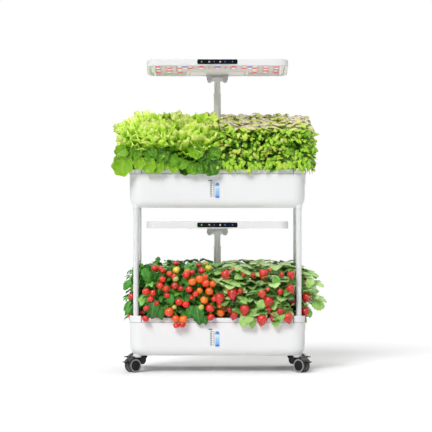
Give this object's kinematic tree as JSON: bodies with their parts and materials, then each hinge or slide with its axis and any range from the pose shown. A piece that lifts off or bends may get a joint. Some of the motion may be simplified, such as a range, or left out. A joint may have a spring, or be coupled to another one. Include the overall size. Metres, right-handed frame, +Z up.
{
  "type": "hydroponic growing trolley",
  "caption": "Two-tier hydroponic growing trolley: long water tanks with planting decks on posts and casters, each under a tilting grow lamp on a telescoping pole.",
  "frame": {"origin": "on the floor under the centre of the trolley", "axes": "+Z up, +X to the right seen from the front, the front with the level gauges and touch panels faces -Y"},
  "size_m": [0.72, 0.3492, 1.0696],
  "materials": {
    "tank_white": "glossy moulded plastic",
    "deck_white": "satin moulded plastic",
    "cap_white": "glossy moulded plastic",
    "post_white": "white powder coat",
    "pole_white": "white powder coat",
    "lamp_white": "glossy moulded plastic",
    "board_white": "white solder mask",
    "chip_red": "lens over a light chip",
    "driver_white": "satin plastic",
    "bracket_grey": "satin plastic",
    "pin_steel": "dark steel",
    "screw_steel": "bright steel",
    "panel_black": "black glass-like face",
    "window_clear": "clear plastic",
    "float_blue": "coloured plastic",
    "flap_white": "glossy moulded plastic",
    "cup_grey": "moulded plastic",
    "sponge_tan": "open-cell sponge",
    "pump_black": "moulded plastic",
    "plug_grey": "soft rubber",
    "inlet_black": "moulded plastic",
    "hood_black": "moulded nylon",
    "wheel_grey": "rubber tread on nylon",
    "lettuce_leaf": "leaf",
    "basil_leaf": "leaf",
    "tomato_leaf": "leaf and fruit",
    "strawberry_leaf": "leaf and fruit"
  },
  "bodies": {
    "frame": {"front_posts": "post_white", "rear_posts": "post_white", "drain_plugs": "plug_grey", "power_inlets": "inlet_black", "lower_tank": "tank_white", "lower_corner_caps": "cap_white", "lower_level_window": "window_clear", "lower_pump": "pump_black", "lower_outer_tube": "pole_white", "upper_tank": "tank_white", "upper_corner_caps": "cap_white", "upper_level_window": "window_clear", "upper_pump": "pump_black", "upper_outer_tube": "pole_white"},
    "lower_planting_deck": {"lower_deck": "deck_white", "lower_net_cups": "cup_grey", "lower_grow_sponges": "sponge_tan", "lower_pole_collar": "deck_white", "tomato_plants": "tomato_leaf", "strawberry_plants": "strawberry_leaf"},
    "lower_inner_pole": {"lower_inner_tube": "pole_white"},
    "lower_lamp": {"lower_lamp_housing": "lamp_white", "lower_touch_panel": "panel_black", "lower_led_board": "board_white", "lower_led_chips": "chip_red", "lower_driver_cover": "driver_white", "lower_cover_screws": "screw_steel", "lower_tilt_bracket": "bracket_grey", "lower_hinge_pin": "pin_steel"},
    "lower_float": {"lower_level_float": "float_blue"},
    "lower_flap": {"lower_fill_flap": "flap_white"},
    "upper_planting_deck": {"upper_deck": "deck_white", "upper_net_cups": "cup_grey", "upper_grow_sponges": "sponge_tan", "upper_pole_collar": "deck_white", "lettuce_plants": "lettuce_leaf", "basil_plants": "basil_leaf"},
    "upper_inner_pole": {"upper_inner_tube": "pole_white"},
    "upper_lamp": {"upper_lamp_housing": "lamp_white", "upper_touch_panel": "panel_black", "upper_led_board": "board_white", "upper_led_chips": "chip_red", "upper_driver_cover": "driver_white", "upper_cover_screws": "screw_steel", "upper_tilt_bracket": "bracket_grey", "upper_hinge_pin": "pin_steel"},
    "upper_float": {"upper_level_float": "float_blue"},
    "upper_flap": {"upper_fill_flap": "flap_white"},
    "front_left_fork": {"caster_front_left_hood": "hood_black"},
    "front_left_wheels": {"caster_front_left_wheels": "wheel_grey"},
    "front_left_brake": {"caster_front_left_pedal": "hood_black"},
    "front_right_fork": {"caster_front_right_hood": "hood_black"},
    "front_right_wheels": {"caster_front_right_wheels": "wheel_grey"},
    "front_right_brake": {"caster_front_right_pedal": "hood_black"},
    "rear_left_fork": {"caster_rear_left_hood": "hood_black"},
    "rear_left_wheels": {"caster_rear_left_wheels": "wheel_grey"},
    "rear_left_brake": {"caster_rear_left_pedal": "hood_black"},
    "rear_right_fork": {"caster_rear_right_hood": "hood_black"},
    "rear_right_wheels": {"caster_rear_right_wheels": "wheel_grey"},
    "rear_right_brake": {"caster_rear_right_pedal": "hood_black"}
  },
  "joints": [
    {"name": "lower_deck_lift", "type": "slide", "parent": "frame", "child": "lower_planting_deck", "axis": [0, 0, 1], "range_m": [0, 0.06]},
    {"name": "lower_lamp_height", "type": "slide", "parent": "frame", "child": "lower_inner_pole", "axis": [0, 0, 1], "range_m": [-0.035, 0.035]},
    {"name": "lower_lamp_tilt", "type": "hinge", "parent": "lower_inner_pole", "child": "lower_lamp", "pos_m": [0, 0.066, 0.477], "axis": [1, 0, 0], "range_deg": [-12, 10]},
    {"name": "lower_float_rise", "type": "slide", "parent": "frame", "child": "lower_float", "axis": [0, 0, 1], "range_m": [-0.0355, 0]},
    {"name": "lower_flap_swing", "type": "hinge", "parent": "frame", "child": "lower_flap", "pos_m": [0.3024, 0, 0.182], "axis": [0, -1, 0], "range_deg": [0, 60]},
    {"name": "upper_deck_lift", "type": "slide", "parent": "frame", "child": "upper_planting_deck", "axis": [0, 0, 1], "range_m": [0, 0.06]},
    {"name": "upper_lamp_height", "type": "slide", "parent": "frame", "child": "upper_inner_pole", "axis": [0, 0, 1], "range_m": [-0.035, 0.2]},
    {"name": "upper_lamp_tilt", "type": "hinge", "parent": "upper_inner_pole", "child": "upper_lamp", "pos_m": [0, 0.066, 1.012], "axis": [1, 0, 0], "range_deg": [-15, 7.5]},
    {"name": "upper_float_rise", "type": "slide", "parent": "frame", "child": "upper_float", "axis": [0, 0, 1], "range_m": [-0.0355, 0]},
    {"name": "upper_flap_swing", "type": "hinge", "parent": "frame", "child": "upper_flap", "pos_m": [0.3024, 0, 0.686], "axis": [0, -1, 0], "range_deg": [0, 60]},
    {"name": "front_left_swivel", "type": "hinge", "parent": "frame", "child": "front_left_fork", "pos_m": [-0.273, -0.112, 0.05], "axis": [0, 0, 1], "continuous": true},
    {"name": "front_left_roll", "type": "hinge", "parent": "front_left_fork", "child": "front_left_wheels", "pos_m": [-0.28738, -0.12283, 0.023], "axis": [0.6018, -0.7986, 0], "continuous": true},
    {"name": "front_left_brake_press", "type": "hinge", "parent": "front_left_fork", "child": "front_left_brake", "pos_m": [-0.30927, -0.13933, 0.03637], "axis": [0.6018, -0.7986, 0], "range_deg": [0, 20]},
    {"name": "front_right_swivel", "type": "hinge", "parent": "frame", "child": "front_right_fork", "pos_m": [0.273, -0.112, 0.05], "axis": [0, 0, 1], "continuous": true},
    {"name": "front_right_roll", "type": "hinge", "parent": "front_right_fork", "child": "front_right_wheels", "pos_m": [0.28658, -0.12381, 0.023], "axis": [0.6561, 0.7547, 0], "continuous": true},
    {"name": "front_right_brake_press", "type": "hinge", "parent": "front_right_fork", "child": "front_right_brake", "pos_m": [0.30727, -0.14179, 0.03637], "axis": [0.6561, 0.7547, 0], "range_deg": [0, 20]},
    {"name": "rear_left_swivel", "type": "hinge", "parent": "frame", "child": "rear_left_fork", "pos_m": [-0.273, 0.112, 0.05], "axis": [0, 0, 1], "continuous": true},
    {"name": "rear_left_roll", "type": "hinge", "parent": "rear_left_fork", "child": "rear_left_wheels", "pos_m": [-0.29073, 0.10887, 0.023], "axis": [0.1736, -0.9848, 0], "continuous": true},
    {"name": "rear_left_brake_press", "type": "hinge", "parent": "rear_left_fork", "child": "rear_left_brake", "pos_m": [-0.31772, 0.10411, 0.03637], "axis": [0.1736, -0.9848, 0], "range_deg": [0, 20]},
    {"name": "rear_right_swivel", "type": "hinge", "parent": "frame", "child": "rear_right_fork", "pos_m": [0.273, 0.112, 0.05], "axis": [0, 0, 1], "continuous": true},
    {"name": "rear_right_roll", "type": "hinge", "parent": "rear_right_fork", "child": "rear_right_wheels", "pos_m": [0.29073, 0.10887, 0.023], "axis": [0.1736, 0.9848, 0], "continuous": true},
    {"name": "rear_right_brake_press", "type": "hinge", "parent": "rear_right_fork", "child": "rear_right_brake", "pos_m": [0.31772, 0.10411, 0.03637], "axis": [0.1736, 0.9848, 0], "range_deg": [0, 20]}
  ]
}
